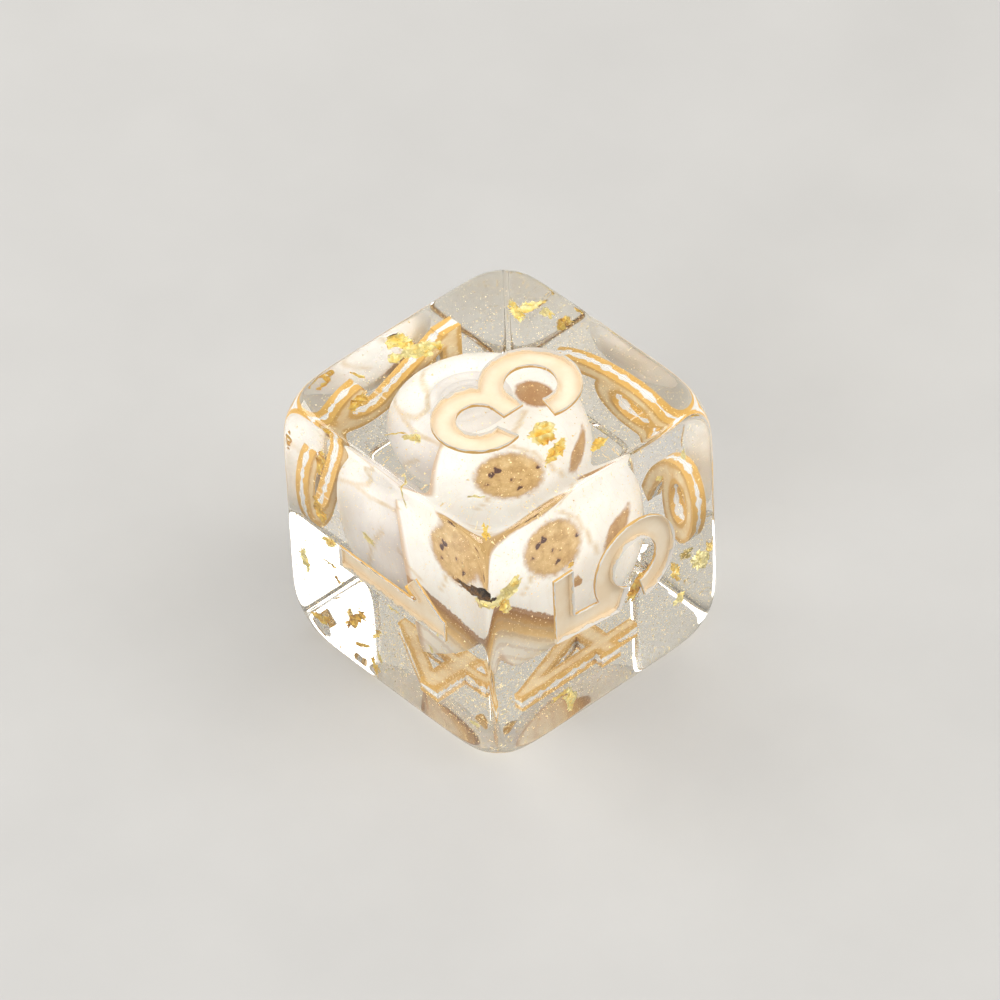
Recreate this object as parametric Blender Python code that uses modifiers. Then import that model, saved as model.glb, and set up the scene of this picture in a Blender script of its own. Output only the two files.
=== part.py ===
"""A clear cast-resin six-sided die with a sea-snail shell and scraps of gold leaf sealed inside.

The origin is the centre of the die. +Z is the face with the 3, -Y the 1 and +X the 5.
Opposite faces add up to seven. Everything is in metres, built from sizes in millimetres.
"""

import math
import random

import bmesh
import bpy
from mathutils import Matrix, Vector

MM = 0.001

# The die
HALF_SIDE = 8.0 * MM
SHARPNESS = 40  # the power that rounds the cube: 40 gives its edges a radius of about 0.45 mm
CORNER_REACH = 12.9 * MM  # the ball that wears the corners, a little short of their 13.9 mm
FACE_FLATNESS = 0.005 * MM  # a point this close to a face's plane is put on it
FACE_CUTS_MM = (0.0, 3.0, 5.0, 6.2, 6.9, 7.3, 7.55, 7.75, 7.9)
POUR_LINE = -5.3 * MM  # the first pour of resin ends here, below every side numeral
POUR_GAP = 0.02 * MM

# The numerals
NUMERAL_DEPTH = 0.45 * MM
PAINT_THICKNESS = 0.12 * MM
PAINT_GAP = 0.015 * MM
STROKE = 1.3
ARC_STEP = math.radians(12)

# The shell: a whorl that grows by GROWTH each turn round a tilted axis, widening towards the mouth
SHELL_CENTRE = Vector((-1.65, 0.55, -0.95)) * MM
SHELL_AXIS = Vector((-0.14, -0.07, 1.0))  # points from the base to the tip of the spire
SHELL_TURNS = 6.0
GROWTH = 1.48
WHORL_RADIUS = 3.4 * MM
WHORL_HEIGHT = 4.7 * MM
WHORL_OFFSET = 3.05 * MM
WHORL_DROP = 5.1 * MM
MOUTH_AZIMUTH = math.radians(-65)
MOUTH_DEPTH = math.radians(110)
BASE_FULLNESS = 0.65  # below 1, the lower half of the whorl's section is fuller than an ellipse
LIP_SCALE = 0.86  # the mouth's width against the whorl's, which leaves the lip's thickness
MOUTH_NARROWING = 0.35
MOUTH_STEPS = 6
STEPS_A_TURN = 28
SECTION_SIDES = 20
SHELL_VOXEL = 0.22 * MM
SHELL_TRIANGLES = 2600
SHELL_GAP = 0.02 * MM

# The gold leaf
LEAF_THICKNESS = 0.005 * MM
LEAF_SIDES = 7
LEAF_JAG = (0.72, 1.15)  # each point of the outline lies at a share of its oval between these
LEAF_CREASE = 0.12  # how far the sides fold up, as a share of the width
LEAF_RUFFLE_MM = 0.03

RESIN = ("clear_resin", (0.97, 0.96, 0.92, 1.0), 0.05, 0.0)
SHELL = ("shell_porcelain", (0.90, 0.87, 0.82, 1.0), 0.30, 0.0)
PAINT = ("numeral_paint", (0.93, 0.74, 0.52, 1.0), 0.45, 0.0)
LEAF = ("gold_leaf", (0.95, 0.70, 0.25, 1.0), 0.30, 1.0)

# Each numeral: its face's outward normal, the direction of its top, and how far it sits off centre
NUMERALS = {
    "1": ((0, -1, 0), (1, 0, 0), (0.0, 0.0)),
    "2": ((-1, 0, 0), (0, -1, 0), (-0.4, 0.0)),
    "3": ((0, 0, 1), (0, -1, 0), (-0.5, 0.0)),
    "4": ((0, 0, -1), (0, -1, 0), (0.0, 0.0)),
    "5": ((1, 0, 0), (0, -1, 0), (0.15, -0.15)),
    "6": ((0, 1, 0), (-1, 0, 0), (0.8, 0.0)),
}

# Each scrap of leaf: the face it lies under, where across that face (along its right and up
# directions), how deep, its length and width (mm), its turn in its own plane and its tilt (degrees)
LEAVES = (
    ("3", 7.2, 0.3, 0.9, 1.7, 0.9, 0, 8),
    ("3", 5.7, 0.4, 1.2, 2.2, 1.4, 75, 28),
    ("3", 4.4, -6.5, 1.5, 1.2, 0.7, 70, 15),
    ("3", 4.9, -5.8, 1.6, 1.3, 0.6, 160, 35),
    ("3", 1.2, 4.7, 1.0, 1.1, 0.8, 20, 20),
    ("3", 1.8, 5.3, 1.0, 1.0, 0.4, 55, 40),
    ("3", -3.3, -0.2, 1.5, 1.5, 1.1, 120, 12),
    ("3", -4.7, 0.0, 1.6, 2.1, 0.7, 115, 35),
    ("3", -5.8, -1.7, 1.0, 1.2, 0.7, 100, 30),
    ("3", -4.7, 5.7, 0.8, 0.7, 0.6, 40, 50),
    ("3", -6.7, 6.9, 0.7, 1.0, 0.3, 150, 20),
    ("3", 6.5, 3.8, 0.8, 0.9, 0.3, 10, 40),
    ("5", 3.3, 6.3, 1.0, 1.8, 0.9, 110, 10),
    ("5", 2.6, 6.6, 1.0, 1.0, 0.6, 30, 35),
    ("5", -3.2, -7.1, 1.0, 1.3, 1.1, 45, 8),
    ("5", -6.7, 2.6, 1.0, 1.3, 1.1, 20, 40),
    ("5", 4.3, -4.4, 1.2, 0.6, 0.3, 60, 20),
    ("5", 4.9, -6.1, 1.0, 0.6, 0.4, 20, 30),
    ("5", 2.5, 2.0, 0.9, 0.4, 0.3, 80, 10),
    ("5", -4.8, -5.5, 1.0, 0.7, 0.4, 130, 50),
    ("5", -1.9, -2.6, 0.9, 1.9, 0.7, 130, 20),
    ("1", -4.0, 6.6, 0.6, 1.9, 0.8, 95, 25),
    ("1", -1.1, -5.7, 0.9, 1.7, 1.0, 15, 25),
    ("1", 3.1, -7.0, 0.6, 1.5, 0.8, 10, 15),
    ("1", 4.9, -3.3, 0.9, 2.4, 0.7, 145, 50),
    ("1", 6.5, -2.7, 0.9, 1.3, 0.45, 120, 40),
    ("1", 6.3, -1.4, 0.8, 0.9, 0.4, 10, 35),
    ("1", 6.5, -5.9, 0.9, 1.4, 0.9, 100, 25),
    ("1", 7.1, -1.6, 0.8, 0.9, 0.8, 0, 20),
    ("1", 2.8, -4.4, 0.7, 0.7, 0.4, 30, 30),
    ("1", -1.8, -1.7, 0.8, 0.8, 0.6, 80, 20),
    ("1", 0.3, 0.0, 1.0, 0.6, 0.35, 120, 40),
    ("1", -7.0, 1.2, 0.7, 1.6, 0.25, 20, 30),
    ("1", 2.8, 3.0, 0.8, 0.4, 0.3, 0, 20),
    ("1", 6.0, 6.1, 0.9, 0.9, 0.35, 110, 30),
    ("2", -3.0, 3.5, 1.0, 1.3, 0.8, 30, 20),
    ("2", 4.5, -5.0, 0.9, 1.0, 0.7, 80, 30),
    ("6", -5.5, 4.0, 1.0, 1.4, 0.8, 50, 15),
    ("6", 5.0, -3.0, 1.1, 1.1, 0.6, 140, 35),
    ("4", 5.5, 2.5, 0.9, 1.2, 0.8, 60, 20),
    ("4", -5.5, -5.0, 0.9, 1.0, 0.6, 10, 30),
)


def clear_scene():
    for obj in list(bpy.data.objects):
        bpy.data.objects.remove(obj)


def new_collection(name):
    made = bpy.data.collections.new(name)
    bpy.context.scene.collection.children.link(made)
    return made


def material(name, colour, roughness, metallic):
    made = bpy.data.materials.get(name) or bpy.data.materials.new(name)
    made.use_nodes = True
    made.diffuse_color = colour
    shader = made.node_tree.nodes["Principled BSDF"]
    shader.inputs["Base Color"].default_value = colour
    shader.inputs["Roughness"].default_value = roughness
    shader.inputs["Metallic"].default_value = metallic
    return made


def mesh_object(name, bm, collection, look=None):
    bmesh.ops.recalc_face_normals(bm, faces=bm.faces)
    mesh = bpy.data.meshes.new(name)
    bm.to_mesh(mesh)
    bm.free()
    if look:
        mesh.materials.append(material(*look))
    obj = bpy.data.objects.new(name, mesh)
    collection.objects.link(obj)
    return obj


def shaded_smooth(obj):
    for polygon in obj.data.polygons:
        polygon.use_smooth = True
    return obj


def as_cutter(obj):
    obj.hide_render = True
    obj.display_type = "WIRE"
    return obj


def boolean(obj, other, operation, solver="EXACT"):
    modifier = obj.modifiers.new(f"{operation.lower()} {other.name}", "BOOLEAN")
    modifier.operation = operation
    modifier.object = other
    modifier.solver = solver


def applied(obj):
    """The object's mesh with its modifiers applied, so that it can cut another object quickly."""
    graph = bpy.context.evaluated_depsgraph_get()
    mesh = bpy.data.meshes.new_from_object(obj.evaluated_get(graph))
    obj.modifiers.clear()
    obj.data = mesh
    return obj


def worn_point(point):
    """Pulls a point of the sharp cube in to the tumbled one.

    Each term is 1 on a face or on the corner ball. Their high powers add up only near an edge
    or a corner, so the edges are crisp and the corners are rounder. The faces are made exactly
    flat, so that the die rests without rocking.
    """
    terms = [abs(value) / HALF_SIDE for value in point] + [point.length / CORNER_REACH]
    worn = point * sum(term**SHARPNESS for term in terms) ** (-1 / SHARPNESS)
    for axis, value in enumerate(worn):
        if HALF_SIDE - abs(value) < FACE_FLATNESS:
            worn[axis] = math.copysign(HALF_SIDE, value)
    return worn


def rounded_die(name, collection, look=None):
    """A cube with more cuts near its edges, each point then moved to the rounded shape."""
    bm = bmesh.new()
    bmesh.ops.create_cube(bm, size=2 * HALF_SIDE)
    for axis in range(3):
        normal = Vector((axis == 0, axis == 1, axis == 2))
        for cut in FACE_CUTS_MM:
            for side in {cut, -cut}:
                bmesh.ops.bisect_plane(
                    bm,
                    geom=bm.verts[:] + bm.edges[:] + bm.faces[:],
                    dist=1e-9,
                    plane_co=normal * side * MM,
                    plane_no=normal,
                )
    for vertex in bm.verts:
        vertex.co = worn_point(vertex.co.copy())
    return shaded_smooth(mesh_object(name, bm, collection, look))


def line(start, end):
    return [Vector(start), Vector(end)]


def arc(centre, radius, start, end):
    """Points along a circle, from one angle to another in degrees."""
    start = math.radians(start)
    sweep = math.radians(end) - start
    count = max(2, math.ceil(abs(sweep) / ARC_STEP))
    angles = [start + sweep * i / count for i in range(count + 1)]
    return [Vector(centre) + radius * Vector((math.cos(a), math.sin(a))) for a in angles]


def numeral_strokes(digit):
    """The centre lines of a numeral's strokes, in millimetres, with +Y up the numeral."""
    if digit == "1":
        return [line((0.5, -3.75), (0.5, 4.4)), line((0.55, 4.0), (-1.25, 1.8))]
    if digit == "2":
        return [
            arc((0.0, 1.95), 2.1, 165, -38),
            line((1.85, 0.95), (-2.1, -3.6)),
            line((-2.6, -3.65), (2.7, -3.65)),
        ]
    if digit == "3":
        return [
            arc((0.05, -2.0), 2.05, 90, -195),
            arc((-0.1, 1.8), 1.8, -90, 196),
            line((0.3, 0.02), (-0.85, 0.02)),
        ]
    if digit == "4":
        return [
            line((1.0, 3.7), (1.0, -4.5)),
            line((-3.6, -2.2), (2.8, -2.2)),
            line((0.95, 3.2), (-3.1, -2.1)),
        ]
    if digit == "5":
        return [
            line((-1.9, 2.95), (2.25, 2.95)),
            line((-1.4, 3.55), (-2.0, -0.9)),
            arc((0.0, -2.0), 2.15, 157, -167),
        ]
    return [arc((0.1, -1.9), 2.05, 0, 360), arc((5.3, -1.9), 7.25, 180, 126)]


def ribbon(bm, path, width, low, high):
    """A flat stroke along a path: its two edges are offset from the path and joined top to bottom."""
    closed = (path[0] - path[-1]).length < 1e-6
    points = path[:-1] if closed else path
    count = len(points)
    rings = []
    for i, point in enumerate(points):
        before = points[i - 1] if i or closed else point
        after = points[(i + 1) % count] if i + 1 < count or closed else point
        along = (after - before).normalized()
        across = Vector((-along.y, along.x)) * width / 2
        left = point - across
        right = point + across
        corners = ((left, low), (right, low), (right, high), (left, high))
        rings.append([bm.verts.new((p.x * MM, p.y * MM, z)) for p, z in corners])
    spans = zip(rings, rings[1:] + rings[:1] if closed else rings[1:])
    for here, there in spans:
        for a in range(4):
            b = (a + 1) % 4
            bm.faces.new((here[a], here[b], there[b], there[a]))
    if not closed:
        bm.faces.new(rings[0])
        bm.faces.new(rings[-1])


def face_matrix(digit):
    """Takes numeral coordinates (right, up, outwards from the face) to the die."""
    normal, up, offset = NUMERALS[digit]
    normal, up = Vector(normal), Vector(up)
    right = up.cross(normal)
    place = normal * HALF_SIDE + (right * offset[0] + up * offset[1]) * MM
    turn = Matrix((right, up, normal)).transposed().to_4x4()
    return Matrix.Translation(place) @ turn


def numeral(name, digit, width, low, high, collection, look=None):
    """One numeral as a closed solid: its strokes, joined by unions."""
    strokes = numeral_strokes(digit)
    made = []
    for i, path in enumerate(strokes):
        bm = bmesh.new()
        ribbon(bm, path, width, low, high)
        bm.transform(face_matrix(digit))
        made.append(mesh_object(name if i == 0 else f"{name}_stroke_{i}", bm, collection, look))
    for other in made[1:]:
        boolean(made[0], other, "UNION")
    applied(made[0])
    for other in made[1:]:
        bpy.data.objects.remove(other)
    return made[0]


def shell_frame():
    """Turns the shell's own axes, with its axis up, to the way it lies in the die."""
    up = SHELL_AXIS.normalized()
    side = Vector((0, 1, 0)).cross(up).normalized()
    return Matrix((side, up.cross(side), up)).transposed().to_4x4()


def whorl_ring(turn, scale):
    """One section of the growing tube, an oval with a full base, in the shell's own axes."""
    size = GROWTH ** (turn / math.tau)
    azimuth = MOUTH_AZIMUTH - turn
    outward = Vector((math.cos(azimuth), math.sin(azimuth), 0))
    centre = outward * WHORL_OFFSET * size - Vector((0, 0, WHORL_DROP * size))
    ring = []
    for i in range(SECTION_SIDES):
        a = math.tau * i / SECTION_SIDES
        power = BASE_FULLNESS if a > math.pi else 1.0
        across = math.copysign(abs(math.cos(a)) ** power, math.cos(a))
        upward = math.copysign(abs(math.sin(a)) ** power, math.sin(a))
        offset = outward * across * WHORL_RADIUS + Vector((0, 0, upward * WHORL_HEIGHT))
        ring.append(centre + offset * size * scale)
    return ring


def shell_tube():
    """The whorl from the tip of the spire to the lip, and then back down inside the mouth."""
    steps = int(SHELL_TURNS * STEPS_A_TURN)
    rings = [whorl_ring(-math.tau * SHELL_TURNS * (1 - i / steps), 1.0) for i in range(steps + 1)]
    inner = MOUTH_STEPS
    for i in range(inner + 1):
        narrowing = 1 - MOUTH_NARROWING * i / inner
        rings.append(whorl_ring(-MOUTH_DEPTH * i / inner, LIP_SCALE * narrowing))
    bm = bmesh.new()
    frame = shell_frame()
    loops = [[bm.verts.new(frame @ point) for point in ring] for ring in rings]
    for here, there in zip(loops, loops[1:]):
        for a in range(SECTION_SIDES):
            b = (a + 1) % SECTION_SIDES
            bm.faces.new((here[a], here[b], there[b], there[a]))
    bm.faces.new(loops[0])
    bm.faces.new(loops[-1])
    return bm


def centred(obj, centre):
    """Moves the mesh so that the middle of its box lies on the given point."""
    corners = [vertex.co for vertex in obj.data.vertices]
    low = Vector(min(c[i] for c in corners) for i in range(3))
    high = Vector(max(c[i] for c in corners) for i in range(3))
    obj.data.transform(Matrix.Translation(centre - (low + high) / 2))


def snail_shell(collection):
    """The overlapping whorls are fused by a voxel remesh and then thinned out."""
    shell = mesh_object("sea_snail_shell", shell_tube(), collection, SHELL)
    fuse = shell.modifiers.new("fuse whorls", "REMESH")
    fuse.mode = "VOXEL"
    fuse.voxel_size = SHELL_VOXEL
    smooth = shell.modifiers.new("soften", "SMOOTH")
    smooth.iterations = 2
    applied(shell)
    thin = shell.modifiers.new("thin out", "DECIMATE")
    thin.ratio = SHELL_TRIANGLES / (2 * len(shell.data.polygons))
    applied(shell)
    centred(shell, SHELL_CENTRE)
    return shaded_smooth(shell)


def shell_cutter(shell, collection):
    """The hollow that the shell leaves in the resin, a little larger all round."""
    cutter = bpy.data.objects.new("shell_hollow", shell.data.copy())
    collection.objects.link(cutter)
    grow = cutter.modifiers.new("clearance", "DISPLACE")
    grow.mid_level = 0.0
    grow.strength = SHELL_GAP
    applied(cutter)
    return as_cutter(cutter)


def half_space(name, low, high, collection):
    """A block as wide as the die and more, between two heights."""
    bm = bmesh.new()
    bmesh.ops.create_cube(bm, size=1.0)
    wide = 3 * HALF_SIDE
    bmesh.ops.scale(bm, vec=(wide, wide, high - low), verts=bm.verts)
    bmesh.ops.translate(bm, vec=(0, 0, (high + low) / 2), verts=bm.verts)
    return as_cutter(mesh_object(name, bm, collection))


def resin_pour(name, block, cutters, collection):
    """One casting: the rounded die, less the shell and numerals, kept on one side of the pour line."""
    pour = rounded_die(name, collection, RESIN)
    for cutter in (block, *cutters):
        boolean(pour, cutter, "DIFFERENCE", "MANIFOLD")
    return pour


def leaf_scrap(index, placing, collection):
    """A torn scrap of leaf: a jagged outline, creased along its length and a hair thick."""
    digit, across, up, depth, length, width, turn, tilt = placing
    chance = random.Random(100 + index)
    bm = bmesh.new()
    bmesh.ops.create_circle(bm, cap_ends=True, cap_tris=True, segments=LEAF_SIDES, radius=0.5)
    for vertex in bm.verts:
        jag = chance.uniform(*LEAF_JAG)
        x = vertex.co.x * length * jag
        y = vertex.co.y * width * jag
        crease = LEAF_CREASE * abs(y) + chance.uniform(-LEAF_RUFFLE_MM, LEAF_RUFFLE_MM)
        vertex.co = Vector((x, y, crease)) * MM
    normal, top, _ = NUMERALS[digit]
    normal, top = Vector(normal), Vector(top)
    right = top.cross(normal)
    place = normal * (HALF_SIDE - depth * MM) + (right * across + top * up) * MM
    frame = Matrix((right, top, normal)).transposed().to_4x4()
    spin = Matrix.Rotation(math.radians(turn), 4, "Z")
    lean = Matrix.Rotation(math.radians(tilt), 4, "X")
    bm.transform(frame @ spin @ lean)
    name = f"gold_leaf_{index:02d}"
    scrap = mesh_object(name, bm, collection, LEAF)
    scrap.location = place
    solid = scrap.modifiers.new("thickness", "SOLIDIFY")
    solid.thickness = LEAF_THICKNESS
    solid.offset = 0.0
    return scrap


def build():
    clear_scene()
    parts = new_collection("inclusion_die")
    cutters = new_collection("cutters")

    shell = snail_shell(parts)
    hollow = shell_cutter(shell, cutters)
    recesses = {}
    for digit in NUMERALS:
        low = PAINT_GAP - NUMERAL_DEPTH
        paint_top = low + PAINT_THICKNESS
        inset = STROKE - 2 * PAINT_GAP / MM
        numeral(f"numeral_{digit}_paint", digit, inset, low, paint_top, parts, PAINT)
        recess = numeral(f"numeral_{digit}_recess", digit, STROKE, -NUMERAL_DEPTH, MM, cutters)
        recesses[digit] = as_cutter(recess)

    above = half_space("above_pour_line", POUR_LINE, 2 * HALF_SIDE, cutters)
    below = half_space("below_pour_line", -2 * HALF_SIDE, POUR_LINE + POUR_GAP, cutters)
    sides = [recesses[digit] for digit in "12356"]
    resin_pour("resin_first_pour", above, [hollow, recesses["4"]], parts)
    resin_pour("resin_main_pour", below, [hollow, *sides], parts)

    for index, placing in enumerate(LEAVES, start=1):
        leaf_scrap(index, placing, parts)


build()
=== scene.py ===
"""The look of the clear resin die: resin, shell, paint, gold leaf and gold dust, in a pale studio."""

import math
import random

import bmesh
import bpy
import numpy as np
from mathutils import Matrix, Vector, noise
from mathutils.bvhtree import BVHTree


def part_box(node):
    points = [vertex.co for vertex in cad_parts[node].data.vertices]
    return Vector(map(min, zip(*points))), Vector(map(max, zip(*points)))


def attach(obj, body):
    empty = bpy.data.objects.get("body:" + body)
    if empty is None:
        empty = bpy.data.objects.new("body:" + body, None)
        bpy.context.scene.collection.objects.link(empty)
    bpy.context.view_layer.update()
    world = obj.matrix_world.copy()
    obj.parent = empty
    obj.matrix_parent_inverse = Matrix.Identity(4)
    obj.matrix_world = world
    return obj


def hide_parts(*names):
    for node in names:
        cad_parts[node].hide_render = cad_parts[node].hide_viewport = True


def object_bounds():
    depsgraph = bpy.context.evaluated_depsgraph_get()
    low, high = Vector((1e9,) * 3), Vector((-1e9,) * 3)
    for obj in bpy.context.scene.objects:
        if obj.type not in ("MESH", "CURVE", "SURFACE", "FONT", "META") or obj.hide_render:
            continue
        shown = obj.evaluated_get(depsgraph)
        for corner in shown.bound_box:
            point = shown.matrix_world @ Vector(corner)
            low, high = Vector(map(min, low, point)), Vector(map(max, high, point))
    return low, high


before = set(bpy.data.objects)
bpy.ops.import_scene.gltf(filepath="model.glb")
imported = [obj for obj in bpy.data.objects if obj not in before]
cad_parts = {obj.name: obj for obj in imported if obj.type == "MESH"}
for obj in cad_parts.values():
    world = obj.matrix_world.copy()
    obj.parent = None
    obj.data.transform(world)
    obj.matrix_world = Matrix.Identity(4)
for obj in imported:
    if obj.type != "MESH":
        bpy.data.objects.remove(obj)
packed_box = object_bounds()

MM = 0.001
HALF_SIDE = packed_box[1].z

# The tumbled cube. The cuts divide each face more and more finely towards its edges.
SHARPNESS = 40
CORNER_REACH = 12.9 * MM
FACE_CUTS_MM = (
    0, 1.5, 3, 4, 4.8, 5.4, 5.9, 6.3, 6.65,
    6.95, 7.2, 7.4, 7.55, 7.67, 7.77, 7.85, 7.92, 7.97,
)
SKIN_TOLERANCE = 0.02
SKIN_FACING = 0.8
CREASE_ANGLE = math.radians(35)

# The numerals and their paint: widths along a face are plain millimetres, heights are scaled
STROKE = 1.3
NUMERAL_DEPTH = 0.45 * MM
CLEAR_OF_FACE = 1.0 * MM  # how far a cutter stands proud of its face
PAINT_FLOOR = 0.11 * MM
PAINT_WALL = 0.07
PAINT_BITE = 0.012  # how far the paint reaches into the resin, so that no air lies between them
PAINT_RIM = -0.16 * MM
RIM_WAVE = 0.16  # of the rim's height, and its limit either way
RIM_WAVE_LIMIT = 0.12
PROBE = 0.03 * MM  # how far off the paint its surroundings are looked at
PATH_STEP = 0.12
RIBBON_SECTION = ((-1, 0), (0, 0), (1, 0), (1, 1), (0, 1), (-1, 1))  # across, and 0 low or 1 high

# The shell's whorl, as in the part's source
SHELL_AXIS = Vector((-0.14, -0.07, 1.0))
SHELL_TURNS = 6.0
GROWTH = 1.48
WHORL_RADIUS = 3.4
WHORL_HEIGHT = 4.7
WHORL_OFFSET = 3.05
WHORL_DROP = 5.1
MOUTH_AZIMUTH = math.radians(-65)
MOUTH_DEPTH = math.radians(110)
BASE_FULLNESS = 0.65
LIP_SCALE = 0.86
MOUTH_NARROWING = 0.35
LIP_ROLL = (0.014, 0.02, 0.014)  # the turns of the rounded lip's three rings
MOUTH_RINGS = 40
MOUTH_TAG = 0.3  # marks the mouth's inside, past the last turn of the outside
STEPS_A_TURN = 130
SECTION_SIDES = 110

# The shell's colouring, by turn (radians): the grey spire gives way to white, and the blotches
# and the brown base start part of the way down. The base begins at a plane (mm) that slopes down
# to the back, BASE_DROP below the die's middle where it is BASE_FRONT in front of it.
SPIRE_TURNS = (-5.6, -4.6)
BLOTCH_START = -6.0
BASE_START = -4.2
BASE_SLOPE = 0.72
BASE_FRONT = 3.6
BASE_DROP = 0.9
LIP_TURNS = (-0.07, -0.01)
GROWTH_LINES = 46.0  # in a full turn

# The gold leaf, with the tones and sizes of the scraps that stand out. The tones run from near black to
# pale and are partly painted reflection of dark and bright surroundings in the metal
LEAF_SPREAD = 1.35
LEAF_CELL = 0.14 * MM
LEAF_THICKNESS = 0.005 * MM
LEAF_CLEARANCE = 0.25 * MM  # from the faces of the die
LEAF_DRIFT = 0.10  # mm
LEAF_CRUMPLE = 0.40  # of a scrap's half width
LEAF_CURL = 0.5
# painted shade and highlight: how much darker the creases and lighter the ridges of a crumpled scrap are
# coloured
CRUMPLE_PAINTED_SHADE = 0.32
PLAIN_TONES_AND_PAINTED_REFLECTIONS = (0.15, 0.3, 0.42, 0.55)
LEAF_TONES_AND_PAINTED_REFLECTIONS = {
    "gold_leaf_01": 0.40,
    "gold_leaf_02": 0.48,
    "gold_leaf_03": 0.50,
    "gold_leaf_08": 0.25,
    "gold_leaf_13": 0.56,
    "gold_leaf_15": 0.68,
    "gold_leaf_22": -0.35,
    "gold_leaf_23": 0.10,
    "gold_leaf_25": 0.05,
}
LARGE_LEAVES = {"gold_leaf_01": 1.15, "gold_leaf_02": 1.15, "gold_leaf_22": 1.15}

RESIN_IOR = 1.52
DUST_COUNT = 16000
DUST_SIZE = 0.030 * MM
DUST_SPREAD = 0.45  # of the sizes
DUST_FROM_FACE = 0.7 * MM
DUST_FROM_SHELL = 0.3 * MM
SETTLED_SHARE = 0.4  # of the dust, near the bottom
SETTLED_HEIGHT = 2.2  # mm
FLECK_CORNERS = ((1, 0, -0.15), (-0.6, 0.8, -0.15), (-0.5, -0.9, -0.15), (0, 0, 0.25))
FLECK_FACES = ((0, 2, 1), (0, 1, 3), (1, 2, 3), (2, 0, 3))

# The camera
CAMERA_AZIMUTH = math.radians(49.28)
CAMERA_ELEVATION = math.radians(42.62)
CAMERA_ROLL = math.radians(2.64)
CAMERA_DISTANCE = 440.9 * MM
CAMERA_AIM = Vector((-0.292, 0.216, 0.394)) * MM
CAMERA_LENS = 304.5
TO_CAMERA = Vector((
    math.cos(CAMERA_ELEVATION) * math.sin(CAMERA_AZIMUTH),
    -math.cos(CAMERA_ELEVATION) * math.cos(CAMERA_AZIMUTH),
    math.sin(CAMERA_ELEVATION),
))

# The studio: each light's name, place, size (m), power (W) and colour, and the glow around it
# from the horizon (0) to overhead (1)
LIGHTS = (
    ("key", (0.234, 0.201, 0.285), 0.34, 0.95, (1.0, 0.98, 0.95)),
    ("fill", (-0.315, -0.034, 0.273), 0.24, 0.65, (1.0, 0.99, 0.97)),
    ("front", (0.08, -0.36, 0.21), 0.20, 0.60, (0.98, 0.99, 1.0)),
)
FLOOR_REACH = 1.2
FLOOR_GAP = 0.01 * MM
SKY_STRENGTH = 0.8
SKY = ((0.0, (0.10, 0.10, 0.10, 1)), (0.6, (0.72, 0.675, 0.58, 1)), (0.95, (0.78, 0.77, 0.76, 1)))

# Each numeral: its face's outward normal and the direction of its top
NUMERALS = {
    "1": ((0, -1, 0), (1, 0, 0)),
    "2": ((-1, 0, 0), (0, -1, 0)),
    "3": ((0, 0, 1), (0, -1, 0)),
    "4": ((0, 0, -1), (0, -1, 0)),
    "5": ((1, 0, 0), (0, -1, 0)),
    "6": ((0, 1, 0), (-1, 0, 0)),
}

# Brown blotches on the shell: the face each is seen through, its middle on that face, its half
# length and half width (mm), its turn (degrees), how squarely the shell may face the top there,
# and how dark and plain it is (the dark plain ones have no specks)
BLOTCHES = (
    ("top", 4.95, -3.6, 1.95, 1.8, 80, 1.0, 0.0),
    ("top", 1.3, 1.6, 1.25, 0.95, 10, 1.0, 1.0),
    ("right", -3.7, 5.6, 2.05, 1.85, 20, 0.42, 0.0),
    ("right", 0.6, 3.6, 1.95, 1.2, 65, 0.37, 0.7),
    ("right", -1.9, 1.4, 0.35, 0.3, 0, 1.0, 0.7),
    ("front", 5.7, 5.7, 2.1, 1.7, 0, 0.42, 0.0),
)
# Thin tan lines, mostly real stains and one a painted shade line: the face each is seen through and the
# points it passes on that face (mm)
STAINS_AND_SHADE_LINE = (
    ("top", (-2.7, -4.3), (-1.0, -4.9), (0.9, -4.5)),
    ("top", (1.9, 0.3), (2.3, -0.4), (2.7, -1.2)),
    # painted shade: a tan line along the valley between two bulges of the body
    ("top", (3.4, -2.0), (4.6, -1.5), (6.8, -1.6)),
    ("front", (-3.6, 5.1), (-2.2, 5.6), (-1.1, 6.3), (-0.8, 6.9), (-1.5, 7.3), (-2.6, 7.3)),
    ("front", (1.0, 3.2), (1.7, 2.5), (2.7, 2.2)),
    ("front", (4.8, 3.9), (4.6, 3.1), (4.2, 2.3)),
    ("front", (-0.2, 3.6), (-1.1, 2.0), (-1.4, 0.2)),
)
TAN_LINE_WIDTH = 0.09
TOP_CUT_OFF = 5.0  # how sharply a blotch ends where the shell turns to the top
# The faces the camera sees: outward normal, and the face's two directions
SEEN_FACES = {
    "top": (Vector((0, 0, 1)), Vector((1, 0, 0)), Vector((0, 1, 0))),
    "front": (Vector((0, -1, 0)), Vector((1, 0, 0)), Vector((0, 0, 1))),
    "right": (Vector((1, 0, 0)), Vector((0, 1, 0)), Vector((0, 0, 1))),
}


# ---------------------------------------------------------------- materials


def new_look(name):
    made = bpy.data.materials.new(name)
    made.use_nodes = True
    made.node_tree.nodes.clear()
    return made


def add(look, kind, inputs=None, **settings):
    """Adds one node. An input is a number, a colour or another node's output."""
    made = look.node_tree.nodes.new(kind)
    for key, value in settings.items():
        setattr(made, key, value)
    for key, value in (inputs or {}).items():
        if isinstance(value, bpy.types.NodeSocket):
            look.node_tree.links.new(value, made.inputs[key])
        else:
            made.inputs[key].default_value = value
    return made


def maths(look, operation, a, b=0.0, c=0.0):
    return add(look, "ShaderNodeMath", {0: a, 1: b, 2: c}, operation=operation).outputs[0]


def millimetres(look):
    """Object coordinates in millimetres."""
    place = add(look, "ShaderNodeTexCoord").outputs["Object"]
    made = add(look, "ShaderNodeVectorMath", {0: place, "Scale": 1 / MM}, operation="SCALE")
    return made.outputs[0]


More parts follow.
